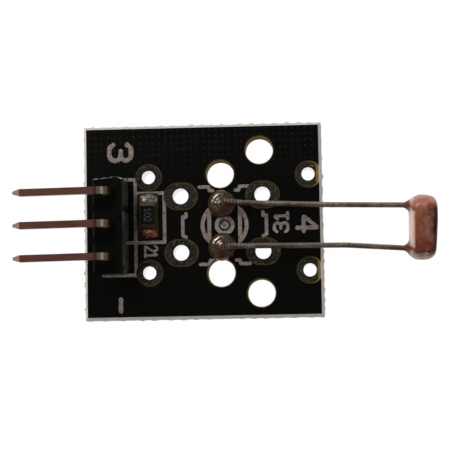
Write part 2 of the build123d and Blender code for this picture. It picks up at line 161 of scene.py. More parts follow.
def node(kind, inputs=(), tree=None, **settings):
    """Add one shader node. Its inputs are a list or a dictionary of values, or of sockets to link.

    It joins the tree that its linked inputs belong to. Only a node without any is told its tree.
    """
    inputs = inputs if isinstance(inputs, dict) else dict(enumerate(inputs))
    linked = {key: value for key, value in inputs.items() if isinstance(value, bpy.types.NodeSocket)}
    tree = tree or next(iter(linked.values())).id_data
    made = tree.nodes.new(f"ShaderNode{kind}")
    for key, value in settings.items():
        setattr(made, key, value)
    for key, value in inputs.items():
        if key in linked:
            tree.links.new(value, made.inputs[key])
        else:
            made.inputs[key].default_value = value
    return made


def drive(shader, socket, value):
    """Let a pattern decide one of the shader's values, all over the surface."""
    shader.id_data.links.new(value, shader.inputs[socket])


def calculate(operation, *values):
    return node("Math", values, operation=operation).outputs[0]


add, subtract, multiply = (partial(calculate, word) for word in ("ADD", "SUBTRACT", "MULTIPLY"))
multiply_add, absolute = partial(calculate, "MULTIPLY_ADD"), partial(calculate, "ABSOLUTE")


def vector(operation, *values):
    """The result of a Vector Math node: a number for LENGTH, and else a vector."""
    return node("VectorMath", values, operation=operation).outputs[int(operation == "LENGTH")]


def axes(place):
    """The x, y and z of a place or a direction."""
    return node("SeparateXYZ", [place]).outputs


def outward(place):
    """The x, y and z of the direction in which the surface faces."""
    return axes(node("NewGeometry", tree=place.id_data).outputs["Normal"])


def ease(value, low, high):
    """0 at low and beyond, 1 at high and beyond, and a smooth step between. Low may be the larger."""
    inputs = {"Value": value, "From Min": low, "From Max": high}
    return node("MapRange", inputs, interpolation_type="SMOOTHSTEP").outputs[0]


def blend(where, under, over):
    """Lay one colour over another where the pattern is 1. Each is a socket or three screen values."""
    under, over = (tone(*side) if isinstance(side, tuple) else side for side in (under, over))
    return node("Mix", {0: where, 6: under, 7: over}, data_type="RGBA").outputs[2]


def tint(colour, where, strength, over):
    """Blend no more than this strength of a colour over another."""
    return blend(multiply(where, strength), colour, over)


def cloud(place, scale, detail=3.0, stretch=None):
    """Soft noise with this many features a millimetre, drawn out where stretch is above one."""
    if stretch is not None:
        shrink = [1 / side for side in stretch]
        place = node("Mapping", {"Vector": place, "Scale": shrink}).outputs[0]
    return node("TexNoise", {"Vector": place, "Scale": scale, "Detail": detail}).outputs["Fac"]


def relief(shader, height, depth):
    """Raise the surface by height, 0 to 1, times depth in millimetres."""
    bump = node("Bump", {"Height": height, "Distance": depth * MM, "Strength": 1.0})
    drive(shader, "Normal", bump.outputs[0])


def new_finish(name, **sockets):
    """Start a material with these values on its shader. Returns it, its shader and the place in mm."""
    finish = bpy.data.materials.new(name)
    finish.use_nodes = True
    tree = finish.node_tree
    shader = tree.nodes["Principled BSDF"]
    for socket, value in sockets.items():
        shader.inputs[socket.replace("_", " ")].default_value = value
    place = vector("MULTIPLY", node("TexCoord", tree=tree).outputs["Object"], (1 / MM,) * 3)
    return finish, shader, place


def dress(finish, *nodes):
    """Put a finish on CAD nodes, through their own material slots."""
    for name in nodes:
        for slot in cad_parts[name].material_slots:
            slot.material = finish
    print(finish.name, "on", len(nodes), "nodes")


def family(*starts):
    """The names of all CAD nodes that start with one of these words."""
    return sorted(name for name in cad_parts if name.startswith(starts))


# %% [markdown]
# ## Camera
#
# The photograph looks almost straight down from about 10 cm. The camera's place was fitted to
# the board's corners, holes and pins, which are known in the CAD, and the fit also says how far
# the object sits off the middle of the picture. That goes into the lens shift.

# %% Camera
camera_data = bpy.data.cameras.new("photo_camera")
camera_data.sensor_width = 36.0
camera_data.lens = 98.21
camera_data.shift_x = -0.0369
camera_data.shift_y = 0.0666
camera_data.clip_start = 0.01
camera_data.clip_end = 10.0
camera = bpy.data.objects.new("photo_camera", camera_data)
camera.location = (0.004959, -0.009334, 0.099686)
camera.rotation_euler = (0.0671, 0.0407, -0.018)
bpy.context.scene.collection.objects.link(camera)
bpy.context.scene.camera = camera
print("camera at", [round(value / MM, 1) for value in camera.location], "mm")

# %% [markdown]
# ## Studio
#
# The photograph's background is pure white while the board is nearly black, so the light on the
# object can't be what makes the background white. The module stands in a pale bowl that bends
# up into a wall all round. For rays from the camera and from glass, most of the bowl's colour
# is a plain white glow; the rest is matt and still takes the object's shadow. Gloss sees that
# glow only near the module, as it would see a light table, so metal gets bright rims and a
# dark top.
#
# Three soft lamps stand round it, of which only the key shows in gloss, and the sky above
# stays dim, so the black lacquer stays black and the solder has one sharp light on each bump.

# %% Bowl, sky and lamps


def cove(radius, corner, height, rows=40, columns=96):
    """A flat round floor that bends up into a wall: a profile turned about the vertical axis.

    The profile runs from the middle out to radius - corner, round a quarter circle of that
    corner, and up to the height.
    """
    turn = np.linspace(0, np.pi / 2, rows)
    reach = np.concatenate([[0], radius - corner + corner * np.sin(turn), [radius]])
    rise = np.concatenate([[0], corner - corner * np.cos(turn), [height]])
    around = np.linspace(0, 2 * np.pi, columns, endpoint=False)
    flat = reach[:, None] * np.stack([np.cos(around), np.sin(around)])[:, None, :]
    return np.stack([flat[0], flat[1], np.broadcast_to(rise[:, None], flat[0].shape)], -1)


def glow_share(tree):
    """How much of the bowl is glow, and how strong: full for camera and glass, only near by for gloss."""
    rays = node("LightPath", tree=tree).outputs
    distance = vector("LENGTH", node("TexCoord", tree=tree).outputs["Object"])
    near = subtract(1.0, multiply(ease(distance, 0.04, 0.2), lost_far_away))
    direct = calculate("MAXIMUM", rays["Is Camera Ray"], rays["Is Transmission Ray"])
    seen = calculate("MAXIMUM", direct, rays["Is Glossy Ray"])
    return multiply(seen, glow_part), multiply(calculate("MAXIMUM", direct, near), glow_strength)


bowl_radius, bowl_corner, bowl_height = 420, 160, 420
glow_part, glow_strength, lost_far_away = 0.94, 1.06, 0.94
bowl = surface("studio_bowl", cove(bowl_radius, bowl_corner, bowl_height))
bowl.data.flip_normals()
paper = bpy.data.materials.new("studio_paper")
paper.use_nodes = True
paper_tree = paper.node_tree
paper_tree.nodes.remove(paper_tree.nodes["Principled BSDF"])
matt = node("BsdfDiffuse", {"Color": tone(240, 240, 240)}, tree=paper_tree)
share, strength = glow_share(paper_tree)
glow = node("Emission", {"Color": tone(255, 255, 255), "Strength": strength})
paper_mix = node("MixShader", [share, matt.outputs[0], glow.outputs[0]])
paper_tree.links.new(paper_mix.outputs[0], paper_tree.nodes["Material Output"].inputs["Surface"])
bowl.data.materials.append(paper)

sky = bpy.data.worlds.new("dim_sky")
sky.use_nodes = True
background = sky.node_tree.nodes["Background"].inputs
background["Color"].default_value = tone(255, 252, 248)
background["Strength"].default_value = 0.05
bpy.context.scene.world = sky
bpy.context.scene.view_settings.view_transform = "Standard"

lamp_distance = 0.3
# Each lamp: name, compass direction and height in degrees, watts, width in metres, seen in gloss
lamps = [
    ("key_lamp", 125, 42, 0.55, 0.13, True),
    ("fill_lamp", 10, 38, 0.3, 0.2, False),
    ("low_lamp", 188, 32, 0.42, 0.2, False),
]
for lamp_name, compass, lift, watts, width, in_gloss in lamps:
    lamp_data = bpy.data.lights.new(lamp_name, "AREA")
    lamp_data.energy = watts
    lamp_data.size = width
    lamp = bpy.data.objects.new(lamp_name, lamp_data)
    turn, tilt = np.radians(compass), np.radians(lift)
    towards = [np.cos(turn) * np.cos(tilt), np.sin(turn) * np.cos(tilt), np.sin(tilt)]
    lamp.location = lamp_distance * np.array(towards)
    lamp.rotation_euler = (np.pi / 2 - tilt, 0, turn + np.pi / 2)
    lamp.visible_glossy = in_gloss
    bpy.context.scene.collection.objects.link(lamp)
print("bowl", len(bowl.data.polygons), "faces,", len(lamps), "lamps")

# %% [markdown]
# ## The board's skins
#
# Solder mask is a glossy lacquer. On this board it is black and lies over a copper hatch, which
# shows through as a faint grid of dots. The grid is made from the coordinates: the distance to
# the middle of each cell of a half-millimetre lattice, with a smooth step at the dot's edge.
#
# The lacquer also thins to olive at the edge of each mounting hole. The holes come in pairs, one
# above the other, so folding the board over at the pair's middle measures both at once.

# %% Distance to a pair of holes
board_middle = (core_low + core_high) / 2
board_half = (core_high - core_low) / 2


def pair_distance(place, pair_x, pair_y, half_pitch):
    """Distance on the board to the nearer of two points, half_pitch above and below a middle."""
    x, y, _ = axes(place)
    off_x = subtract(x, board_middle[0] + pair_x)
    off_y = subtract(absolute(subtract(y, board_middle[1] + pair_y)), half_pitch)
    return calculate("SQRT", multiply_add(off_x, off_x, multiply(off_y, off_y)))


# %% Black lacquer with the hatch under it
lacquer, shader, place = new_finish("black_lacquer", Roughness=0.2, IOR=1.5)
hatch_pitch = 0.508
lattice = vector("FRACTION", vector("MULTIPLY", place, (1 / hatch_pitch,) * 3))
across, along = (absolute(subtract(part, 0.5)) for part in axes(lattice)[:2])
dot = subtract(1.0, ease(calculate("MAXIMUM", across, along), 0.1, 0.22))
dot = multiply(dot, ease(add(axes(place)[1], cloud(place, 0.25)), 3.2, 6.8))
dust = ease(cloud(place, 3.0, 6.0), 0.45, 0.8)
colour = blend(dust, (2, 3, 2), (7, 8, 6))
colour = tint(colour, dot, 0.8, (24, 25, 22))
hole_radius = 1.1
# Each pair of mounting holes: its middle off the board's, and half the distance between the two
for pair in ((1.4, -0.2, 3.935), (4.55, -0.1, 5.68)):
    past_edge = subtract(pair_distance(place, *pair), hole_radius)
    colour = blend(ease(past_edge, 0.1, 0.05), colour, (84, 66, 28))
drive(shader, "Base Color", colour)
relief(shader, add(multiply(dot, -0.5), cloud(place, 2.0)), 0.004)
dress(lacquer, *family("solder_mask"))

# %% [markdown]
# The laminate under the lacquer is glass cloth in resin. Where it was scored and snapped it is
# bruised and goes pale; the walls of holes keep its olive tan, and in the openings of the
# lacquer it is brown with old flux, paler towards the sensor's end. Which of them shows depends
# only on how far a point is from the board's rim and from its face, so one material measures
# both and mixes.

# %% Laminate: pale at the broken rim, olive inside
laminate, shader, place = new_finish("glass_laminate", Roughness=0.8, Specular_IOR_Level=0.1)
x, y, z = axes(place)
past_x = subtract(absolute(subtract(x, board_middle[0])), board_half[0])
past_y = subtract(absolute(subtract(y, board_middle[1])), board_half[1])
broken = ease(calculate("MAXIMUM", past_x, past_y), -0.27, -0.24)
at_face = ease(z, core_high[2] - 0.08, core_high[2] - 0.01)
at_right = ease(x, core_high[0] - 1.1, core_high[0] - 0.4)
threads = cloud(place, 5.0, 4.0, stretch=(2.5, 2.5, 0.35))
walls = blend(threads, (130, 107, 66), (176, 149, 106))
fringe = blend(threads, (50, 40, 16), (82, 66, 30))
fringe = blend(at_right, fringe, blend(threads, (94, 78, 30), (130, 110, 52)))
outside = blend(threads, (160, 152, 145), (206, 198, 190))
drive(shader, "Base Color", blend(broken, blend(at_face, walls, fringe), outside))
relief(shader, threads, 0.03)
dress(laminate, "board_core")

# %% [markdown]
# The empty lands were tinned long ago and have gone dull: dark grey with paler specks, and a
# brown tinge where flux has stayed. It is a metal, but a rough one, so it mirrors almost
# nothing. Noises of different size keep the rings from looking turned on a lathe. Down in
# the holes the tin is still bright and mirrors the white table, so a hole looks round and open.

# %% Tarnished tin on the lands, bright tin down the holes
tin, shader, place = new_finish("tarnished_tin", IOR=1.3)
patches = ease(cloud(place, 0.9, 3.0), 0.4, 0.6)
grain = ease(cloud(place, 6.0, 4.0), 0.42, 0.6)
specks = ease(cloud(place, 6.5, 2.0), 0.6, 0.68)
colour = blend(patches, (6, 6, 4), (30, 26, 23))
colour = blend(grain, colour, (38, 34, 27))
colour = blend(specks, colour, (86, 82, 72))
z = axes(place)[2]
below_land = ease(z, land_face - 0.03, land_face - 0.09)
in_hole = multiply(below_land, ease(z, land_underside + 0.03, land_underside + 0.09))
drive(shader, "Base Color", blend(in_hole, colour, (226, 222, 214)))
drive(shader, "Metallic", multiply_add(in_hole, 0.85, 0.1))
drive(shader, "Roughness", multiply_add(in_hole, -0.5, 0.62))
relief(shader, multiply(cloud(place, 8.0, 5.0), subtract(1.0, in_hole)), 0.07)
dress(tin, *family("outer_pad", "inner_pad", "sensor_pad", "header_pad", "resistor_pad"))

# %% [markdown]
# The printed legend is a warm grey ink. Screen printing leaves it thin and grainy, with darker
# spots where the black shows through.

# %% Legend ink
ink, shader, place = new_finish("legend_ink", Roughness=0.7)
grain = ease(cloud(place, 7.0, 4.0), 0.3, 0.7)
colour = blend(grain, (93, 85, 79), (136, 126, 118))
worn = ease(cloud(place, 4.0, 5.0), 0.56, 0.74)
colour = blend(worn, colour, (50, 46, 42))
drive(shader, "Base Color", colour)
relief(shader, cloud(place, 10.0, 2.0), 0.008)
dress(ink, *family("legend"))

# %% [markdown]
# ## Header
#
# The housing is moulded in black plastic. Its sheen is weaker on the side that faces the pins'
# tips, and the other side carries painted light in patches. The pins are a square wire whose
# plating has gone a reddish brown. A painted highlight lies over the bend, brightest at its
# middle, the cut tips are rubbed bright, and painted shade lies beside the bend and down at the
# housing. Each place is found by its distance along the pin.

# %% Moulded plastic
plastic, shader, place = new_finish("moulded_plastic", Roughness=0.26, IOR=1.33)
facing_x = outward(place)[0]
flow = cloud(place, 1.2, 4.0, stretch=(1, 1, 3))
colour = blend(flow, (6, 7, 5), (12, 13, 10))
# Painted light on the side that faces +X, in patches
lit_side_patches = multiply(ease(facing_x, 0.4, 0.8), ease(cloud(place, 0.8, 2.0), 0.2, 0.7))
drive(shader, "Base Color", blend(lit_side_patches, colour, (62, 63, 58)))
drive(shader, "Specular IOR Level", multiply_add(ease(facing_x, -0.6, -0.1), 0.22, 0.08))
relief(shader, cloud(place, 6.0, 5.0), 0.012)
dress(plastic, "header_housing")

# %% Pin plating, by the distance from the pin's upright post and from its tip
plating, shader, place = new_finish("pin_plating", Metallic=0.5, Roughness=0.36)
from_post = middle("header_pad_2")[0]
from_tip = corners("header_pin_2")[0][0]
x = axes(place)[0]
streaks = cloud(place, 5.0, 5.0, stretch=(8, 1, 1))
colour = blend(streaks, (82, 50, 42), (116, 76, 66))
# Painted highlight over the bend, brightest at its middle, and painted shade in a band beside it
at_bend = ease(x, from_post - 0.74, from_post - 0.62)
shade_beside_bend = subtract(ease(x, from_post - 1.05, from_post - 0.9), at_bend)
colour = tint(colour, shade_beside_bend, 0.7, (44, 38, 33))
painted_bend_highlight = blend(streaks, (82, 72, 56), (132, 120, 96))
from_knuckle = absolute(subtract(x, from_post - 0.3))
painted_bend_highlight = blend(ease(from_knuckle, 0.16, 0.04), painted_bend_highlight, (176, 164, 138))
colour = blend(at_bend, colour, painted_bend_highlight)
# Painted shade on the post down at the housing
colour = blend(ease(x, from_post + 0.02, from_post + 0.12), colour, (36, 31, 25))
colour = blend(ease(x, from_tip + 0.62, from_tip + 0.5), colour, (168, 134, 112))
drive(shader, "Base Color", colour)
relief(shader, streaks, 0.01)
dress(plating, *family("header_pin"))

# %% [markdown]
# ## Solder and wire
#
# Solder is a bright metal, but here it mirrors a dim sky, so it reads as brown with sharp
# lights. Old flux reddens the side of each joint that it has run to, and dark rings lie round
# the middle of each, where it froze. At the resistor the solder is bright on one end, and burnt
# red on the other.
#
# The wires are tinned too, but drawn, so their streaks run along them. They carry grit, grey
# patches and soot over the board, with painted shade in brown on the side away from the key
# lamp and a painted highlight on the side towards it. Close to the joints, solder has crept
# along them in small steps.

# %% Solder of the sensor and the header
solder, shader, place = new_finish("soft_solder", Metallic=0.85, Roughness=0.24)
_, y, z = axes(place)
flux = cloud(place, 1.8, 4.0)
on_top = ease(z, core_low[2], core_high[2])
reddened = add(multiply(ease(y, 1.3, 0.6), ease(y, -1.5, -1.2)), ease(y, -2.0, -2.8))
reddened = multiply(multiply(reddened, ease(flux, 0.25, 0.65)), on_top)
colour = blend(ease(flux, 0.35, 0.65), (150, 140, 124), (124, 100, 86))
colour = blend(reddened, colour, (136, 68, 52))
colour = tint(colour, ease(cloud(place, 7.0, 5.0), 0.44, 0.6), 0.45, (74, 58, 48))
joint_middles = np.array([middle("sensor_pad_1"), middle("sensor_pad_2")]) - board_middle
joint_x, joint_y, _ = joint_middles.mean(axis=0)
joint_half_pitch = np.ptp(joint_middles[:, 1]) / 2
ring_spacing = 0.2
from_joint = pair_distance(place, joint_x + 0.04, joint_y - 0.03, joint_half_pitch)
ring = calculate("SINE", multiply(multiply_add(flux, 0.5, from_joint), 2 * np.pi / ring_spacing))
ring = multiply(ease(ring, -0.4, 0.8), multiply(on_top, 0.36))
drive(shader, "Base Color", blend(ring, colour, (66, 50, 42)))
relief(shader, cloud(place, 5.0, 4.0), 0.012)
dress(solder, *family("sensor_solder", "header_solder"))

# %% Solder and end caps of the resistor
chip_solder, shader, place = new_finish("chip_solder", Metallic=0.6)
chip_x, chip_y, _ = middle("resistor_body")
chip_end = corners("resistor_cap_2")[0][1]
x, y, _ = axes(place)
burnt = ease(y, chip_y + 0.3, chip_y - 0.3)
crust = ease(cloud(place, 2.4, 4.0), 0.4, 0.64)
bright = blend(crust, (124, 113, 98), (246, 236, 218))
flakes = multiply(ease(cloud(place, 4.6, 4.0), 0.42, 0.6), ease(x, chip_x - 0.55, chip_x + 0.05))
red = blend(flakes, (58, 42, 34), (190, 106, 88))
red = blend(ease(y, chip_end - 0.12, chip_end - 0.3), (96, 80, 68), red)
drive(shader, "Base Color", blend(burnt, bright, red))
drive(shader, "Roughness", multiply_add(burnt, 0.25, 0.3))
relief(shader, cloud(place, 3.0, 3.0), 0.05)
dress(chip_solder, *family("resistor_solder"))

cap, shader, place = new_finish("tinned_cap", Metallic=0.85, Roughness=0.3)
worn = cloud(place, 5.0, 4.0)
colour = blend(worn, (98, 88, 74), (156, 148, 134))
burnt = ease(axes(place)[1], chip_y + 0.3, chip_y - 0.3)
drive(shader, "Base Color", blend(burnt, colour, (74, 62, 52)))
relief(shader, worn, 0.015)
dress(cap, *family("resistor_cap"))

# %% Wire
wire, shader, place = new_finish("tinned_wire", Metallic=0.6, Roughness=0.42)
x = axes(place)[0]
facing_y = outward(place)[1]
drawn = cloud(place, 4.0, 5.0, stretch=(6, 1, 1))
clean = blend(drawn, (84, 68, 56), (132, 118, 104))
sooty = blend(drawn, (74, 57, 46), (112, 98, 83))
colour = blend(ease(x, core_high[0], core_high[0] - 1.0), clean, sooty)
# Painted shade: brown on the side away from the key lamp
colour = tint(colour, ease(facing_y, 0.1, -0.6), 0.6, (86, 48, 38))
grey_patches = ease(cloud(place, 0.55, 3.0), 0.44, 0.6)
colour = tint(colour, grey_patches, 0.4, (150, 146, 138))
grit = ease(cloud(place, 7.0, 5.0, stretch=(1.6, 1, 1)), 0.5, 0.6)
colour = tint(colour, grit, 0.6, (70, 50, 40))
# Painted highlight on the side towards the key lamp
colour = tint(colour, ease(facing_y, 0.35, 0.85), 0.6, (156, 148, 130))
step_length = 0.26
joint_end = board_middle[0] + joint_x
steps = ease(calculate("SINE", multiply(x, 2 * np.pi / step_length)), 0.1, 0.8)
steps = multiply(steps, ease(x, joint_end + 2.4, joint_end + 1.4))
drive(shader, "Base Color", tint(colour, steps, 0.7, (48, 34, 27)))
relief(shader, cloud(place, 8.0, 4.0, stretch=(1.6, 1, 1)), 0.05)
dress(wire, *family("sensor_lead"))

# %% [markdown]
# The sensor's disc is white ceramic. The chip resistor's is too, but flux has stained its bare
# sides brown. Its black glaze has gone on by screen, so it is smooth but a little mottled. All
# of these are two tones in soft patches with a finer grain, and one helper makes them.

# %% Ceramic and glaze


def mottled(name, dark, light, patches, grain, depth, **sockets):
    """A finish of two tones mixed in patches, raised by a grain. Both are told as cloud is."""
    finish, shader, place = new_finish(name, **sockets)
    drive(shader, "Base Color", blend(cloud(place, *patches), dark, light))
    relief(shader, cloud(place, *grain), depth)
    return finish


white = mottled("white_ceramic", (188, 176, 160), (226, 218, 206), (6, 4), (14, 2), 0.008, Roughness=0.55)
stained = mottled("stained_ceramic", (46, 38, 24), (84, 72, 52), (5, 4), (9, 3), 0.01, Roughness=0.5)
glaze = mottled("black_glaze", (4, 4, 3), (11, 11, 9), (3, 5), (8, 3), 0.01, Roughness=0.25, IOR=1.5)
dress(white, "sensor_disc")
dress(stained, "resistor_body")
dress(glaze, "resistor_glaze")

# %% [markdown]
# ## Sensor face
#
# Under clear resin, the front of the sensor is a ceramic disc with two combs of pale metal and
# between them a winding orange track, which is the part that feels the light. The CAD has each
# as its own solid, so here they only get their finish: sintered grain for the track and a
# brushed sheen for the combs.

# %% Track, combs and paste
track = mottled("sintered_track", (150, 48, 22), (214, 96, 44), (12, 5), (12, 5), 0.01, Roughness=0.5)
metal = {"Metallic": 0.8, "Roughness": 0.32}
combs = mottled("comb_metal", (186, 166, 124), (226, 212, 180), (3, 5), (15, 3), 0.004, **metal)
silver = {"Metallic": 0.6, "Roughness": 0.45}
paste = mottled("contact_paste", (150, 146, 138), (206, 202, 194), (6, 4), (9, 3), 0.02, **silver)
dress(track, "sensor_track")
dress(combs, *family("sensor_electrode"))
dress(paste, *family("sensor_contact"))

# %% [markdown]
# ## Dipped head
#
# The disc was dipped in tinted resin, which rounds every edge and climbs a little way up each
# wire. The skin is one closed surface: an outline with two flats, carried along a profile that
# starts in the middle of the back, rounds the edge, runs forward, and turns in again to leave
# a shallow cup. The cup is filled by a second piece, the clear window over the track.
#
# Forward means away from the board, along X, and along means across the head from wire to wire.

# %% Outline and frame of the head
head_roll = np.radians(10.0)
head_along = np.array([0, np.cos(head_roll), np.sin(head_roll)])
head_across = np.array([0, -np.sin(head_roll), np.cos(head_roll)])
head_back_x = corners("sensor_coat")[1][0] - 1.83
wire_offset, wire_radius = 1.6825, 0.21
head_shift = -0.08
head_middle = np.array([head_back_x, *middle("sensor_coat")[1:]]) + head_shift * head_along
head_radius, head_half_flat = 2.52, 1.77
head_behind, head_front = -0.06, 1.89


def head_outline(angle, inset):
    """The radius of a circle with two flats: 1 / (R^-n + (F / |sin angle|)^-n)^(1/n), n = 16.

    R is the round radius and F half the distance between the flats, both less the inset.
    """
    flat = (head_half_flat - inset) / np.maximum(np.abs(np.sin(angle)), 1e-6)
    return ((head_radius - inset) ** -16.0 + flat**-16.0) ** (-1 / 16)


def on_head(angle, radius, depth):
    """Points from an angle and radius in the head's own plane and a depth forward of its back.

    The front leans back towards the lower end, as on the photographed head: the depth loses
    0.05 max(0.65 - along, 0), shared out from nothing at the back to all of it at the front.
    """
    along, across = radius * np.cos(angle), radius * np.sin(angle)
    lean = 0.05 * np.maximum(0.65 - along, 0) * np.clip(depth / head_front, 0, 1)
    flat = along[..., None] * head_along + across[..., None] * head_across
    return head_middle + flat + (depth - lean)[..., None] * np.array([1.0, 0, 0])


print("head middle", head_middle.round(3))

# %% Resin skin


def resin_skin(columns=192):
    """The cup: rows follow the profile from the middle of the back to the middle of the cup's floor.

    Each profile point is an inset from the outline and a depth. Across the back and the floor
    the radius shrinks in even shares. The roundings grow with cos^4 from the flats to the round
    ends: 0.22 to 0.85 at the back's upper end and 0.5 at its lower, 0.4 to 0.5 across and
    0.5 to 0.75 deep at the front. The back rises by 0.55 exp(-(q / 0.28)^0.8), where q is the
    distance to the nearer wire's surface, which draws the resin out along the wires. The dip
    leaves the skin a little uneven, and last the front leans back.
    """
    angle = np.linspace(0, 2 * np.pi, columns, endpoint=False)
    end = np.cos(angle) ** 4
    edge = 0.22 + (0.455 + 0.175 * np.sign(np.cos(angle))) * end
    lip_inset, lip_depth = 0.4 + 0.1 * end, 0.5 + 0.25 * end
    cup, floor = lip_inset + 0.04, 1.49
    quarter = np.linspace(0, np.pi / 2, 14)[:, None]
    share = np.linspace(0, 1, 10)[1:-1, None]
    turned_out, turned_in = edge * (1 - np.sin(quarter)), lip_inset * (1 - np.cos(quarter))
    inset = np.concatenate([turned_out, share * 0 * edge, turned_in])
    depth = np.concatenate([
        head_behind + edge * (1 - np.cos(quarter)),
        (head_behind + edge) * (1 - share) + (head_front - lip_depth) * share,
        head_front - lip_depth + lip_depth * np.sin(quarter),
    ])
    rim = head_outline(angle, inset)
    back = head_outline(angle, edge) * np.linspace(0, 1, 70)[:-1, None]
    inner = head_outline(angle, cup) * np.linspace(1, 0, 12)[:, None]
    radius = np.concatenate([back, rim, head_outline(angle, cup)[None, :], inner])
    tail = np.concatenate([[head_front - 0.04], np.full(len(inner), floor)])[:, None] + 0 * angle
    deep = np.concatenate([0 * back + head_behind, depth, tail])
    along, across = radius * np.cos(angle), radius * np.sin(angle)
    to_wire = np.hypot(np.abs(along + head_shift) - wire_offset, across)
    climb = 0.55 * np.exp(-((np.maximum(to_wire - wire_radius, 0) / 0.28) ** 0.8))
    facing_back = np.clip(1 - (deep - head_behind) / edge, 0, 1)
    sag = 0.03 * np.sin(1.7 * along + 0.6) * np.cos(2.1 * deep + along)
    sag += 0.02 * np.sin(5.1 * along + 2.3 * deep) * np.sin(4.4 * deep - 1.3 * along + 1)
    grown = radius + sag * np.clip(radius / 1.5, 0, 1) * (deep < head_front - lip_depth / 2)
    return on_head(angle, grown, deep - climb * facing_back)


# %% [markdown]
# The resin isn't one colour. Seen from above it is a warm brown that turns grey towards the
# front and redder towards the lower end, with red-brown stains. On top of that come the rosy
# upper end and the grey lower end, each partly the thin resin's own tone and partly painted
# light from the sides, painted shade in the crease before the lower end, a red spot, a painted
# glint on the upper back corner and painted glints near both ends, the pale strip along the
# back edge, thin resin with a painted highlight, and a dark front edge. Each is laid over the
# last by a smooth step in the head's own coordinates, with a little noise added so that no
# border is straight.

# %% Tinted resin: the flats
skin, shader, place = new_finish("tinted_resin", Roughness=0.3, IOR=1.45)
local = node("Mapping", {"Vector": place, "Location": (-head_middle).tolist()}).outputs[0]
local = node("Mapping", {"Vector": local, "Rotation": (-head_roll, 0, 0)}).outputs[0]
forward, along, _ = axes(local)
mottle = multiply_add(cloud(local, 1.6, 4.0), 0.8, -0.4)
streaks = ease(cloud(local, 2.2, 5.0, stretch=(1, 1.6, 1)), 0.3, 0.7)
warm = blend(streaks, (116, 62, 42), (134, 80, 56))
grey = blend(streaks, (104, 68, 53), (128, 90, 74))
redder = blend(streaks, (94, 44, 33), (116, 68, 52))
flats = blend(ease(add(forward, mottle), 0.3, 0.8), warm, grey)
flats = blend(ease(add(along, mottle), -0.3, -1.3), flats, redder)
stains = ease(cloud(local, 1.7, 4.0, stretch=(1, 1.4, 1)), 0.48, 0.62)
near_front = multiply_add(ease(forward, 0.6, 1.5), 0.65, 0.25)
flats = blend(multiply(stains, near_front), flats, (98, 30, 22))

# %% Tinted resin: round ends, crease, spots and edges
wavy_along = multiply_add(mottle, 0.5, along)
wavy_forward = multiply_add(mottle, 0.5, forward)
# Both round ends: partly the thin resin's own tone, partly painted light from the sides
rosy_end_with_side_light = blend(streaks, (134, 70, 52), (164, 104, 86))
grey_end_with_side_light = blend(streaks, (98, 68, 56), (146, 116, 100))
colour = blend(ease(wavy_along, 1.5, 1.85), flats, rosy_end_with_side_light)
crease_place = 1.74
colour = blend(ease(wavy_along, -crease_place, -1.9), colour, grey_end_with_side_light)
# Painted shade in the crease before the lower end
crease_shade = ease(absolute(add(wavy_along, crease_place)), 0.13, 0.0)
colour = tint(colour, multiply(crease_shade, ease(forward, 0.1, 0.5)), 0.8, (56, 34, 26))
# Each spot: how far forward and along, where it starts and where it is full, strength and tone
stain_and_glint_spots = [
    (1.25, 1.6, 0.42, 0.12, 0.85, (104, 34, 24)),
    # A painted glint on the upper back corner
    (0.0, 2.2, 0.2, 0.05, 0.6, (208, 186, 172)),
]
for spot_forward, spot_along, start, full, strength, spot_tone in stain_and_glint_spots:
    away = vector("SUBTRACT", local, (spot_forward, spot_along, 0.0))
    away = vector("LENGTH", vector("MULTIPLY", away, (1.0, 1.0, 0.0)))
    colour = tint(colour, ease(add(away, mottle), start, full), strength, spot_tone)
glint_band = ease(absolute(subtract(absolute(along), 1.8)), 0.3, 0.1)
glints = multiply(glint_band, ease(cloud(local, 4.5, 2.0), 0.66, 0.72))
colour = blend(glints, colour, (214, 196, 186))
# Painted highlight along the back edge, over the paler thin resin there
pale_strip_with_highlight = multiply(ease(forward, 0.14, 0.04), ease(absolute(along), 1.5, 1.3))
colour = blend(pale_strip_with_highlight, colour, blend(streaks, (174, 136, 124), (194, 155, 142)))
colour = blend(ease(forward, -0.09, -0.24), colour, (94, 44, 32))
front_edge = multiply(ease(wavy_forward, 1.3, 1.68), ease(along, 2.3, 1.5))
colour = blend(front_edge, colour, (34, 18, 14))
cup_lip = blend(streaks, (84, 38, 28), (122, 66, 50))
drive(shader, "Base Color", blend(ease(outward(place)[0], 0.72, 0.92), colour, cup_lip))
relief(shader, cloud(local, 3.0, 4.0), 0.03)
place_on_board(surface("resin_skin", resin_skin(), sharp=50), skin, "resin", "sensor_coat")

# %% [markdown]
# The window is real glass-like resin: all transmission, a warm tint, and a face that domes up a
# few hundredths in the middle. It is a closed body that holds the face of the disc inside it,
# as the real resin does, so there is no thin gap that would glitter.

# %% Clear window


def resin_window(columns=128):
    """A closed lens. Its back lies at the cup's floor; its front rises by 0.04 (1 - share^2)."""
    share = np.linspace(0, 1, 14)
    angle = np.linspace(0, 2 * np.pi, columns, endpoint=False)
    rim = head_outline(angle, 0.43 + 0.1 * np.cos(angle) ** 4)[None, :]
    radius = np.concatenate([share[:, None] * rim, rim, share[::-1, None] * rim])
    depth = np.concatenate([np.full(14, 1.495), [1.6], 1.8 + 0.04 * (1 - share[::-1] ** 2)])
    return on_head(angle, radius, depth[:, None] + 0 * radius)


glassy = {"Transmission_Weight": 1.0, "IOR": 1.48, "Roughness": 0.03}
clear = mottled("clear_resin", (255, 226, 206), (255, 240, 228), (1.5, 2), (1.5, 2), 0.01, **glassy)
place_on_board(surface("resin_window", resin_window(), sharp=50), clear, "resin")

# %% [markdown]
# ## Torn rim
#
# The board was snapped out of a panel along a score, and the last of the web between the two
# scores tore. From above it shows as small pale scallops that stick out past the straight edge.
# A band is carried round the rim with a squarish section, and a wavy line of many short waves,
# cut off below zero, pushes its outer side out here and there.

# %% Torn rim


